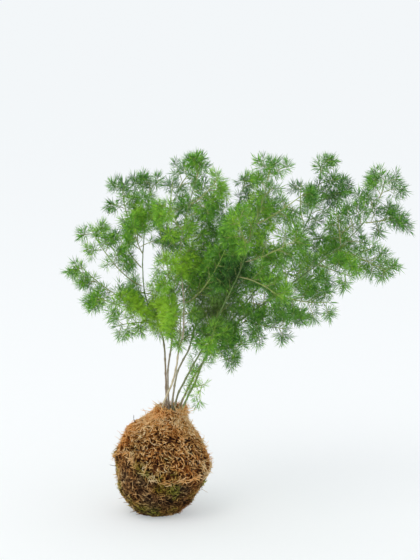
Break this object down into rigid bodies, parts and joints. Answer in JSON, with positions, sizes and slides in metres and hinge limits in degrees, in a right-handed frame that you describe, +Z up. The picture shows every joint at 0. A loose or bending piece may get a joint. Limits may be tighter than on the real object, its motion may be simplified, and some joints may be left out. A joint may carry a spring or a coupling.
{
  "type": "kokedama moss ball plant",
  "caption": "Asparagus fern growing from a thread-bound moss ball: thin canes with feathery needle sprays above a rounded ball that rests on a small flat spot.",
  "frame": {"origin": "middle of the small flat spot under the moss ball", "axes": "+Z up, -Y towards the front, +X to the viewer's right, which the crown of the plant leans towards"},
  "size_m": [0.4658, 0.296, 0.4973],
  "materials": {
    "soil": "damp, matt, crumbly",
    "upper_moss": "dry, curly, shaggy",
    "lower_moss": "dry, shaggy, olive in places",
    "thread": "twisted, matt",
    "cane": "thin bark, satin",
    "needles": "leafy, soft satin"
  },
  "bodies": {
    "root": {"binding_thread": "thread", "cane_a": "cane", "cane_b": "cane", "cane_c": "cane", "cane_d": "cane", "cane_e": "cane", "cane_f": "cane", "cane_g": "cane", "soil_ball": "soil", "moss_lower": "lower_moss", "moss_upper": "upper_moss", "spray_a1": "needles", "spray_a2": "needles", "spray_a3": "needles", "spray_a4": "needles", "spray_a5": "needles", "spray_a6": "needles", "spray_a7": "needles", "spray_a8": "needles", "spray_b1": "needles", "spray_b2": "needles", "spray_b3": "needles", "spray_b4": "needles", "spray_c1": "needles", "spray_c2": "needles", "spray_c3": "needles", "spray_c4": "needles", "spray_c5": "needles", "spray_c6": "needles", "spray_c7": "needles", "spray_d1": "needles", "spray_d2": "needles", "spray_d3": "needles", "spray_d4": "needles", "spray_d5": "needles", "spray_d6": "needles", "spray_e1": "needles", "spray_e2": "needles", "spray_e3": "needles", "spray_e4": "needles", "spray_e5": "needles", "spray_e6": "needles", "spray_e7": "needles", "spray_f1": "needles", "spray_f2": "needles", "spray_f3": "needles", "spray_f4": "needles", "spray_f5": "needles", "spray_f6": "needles", "spray_f7": "needles", "spray_f8": "needles", "spray_g1": "needles", "spray_g2": "needles", "spray_g3": "needles", "spray_g4": "needles", "spray_g5": "needles", "spray_g6": "needles", "spray_g7": "needles", "spray_g8": "needles", "spray_g9": "needles"}
  },
  "joints": []
}
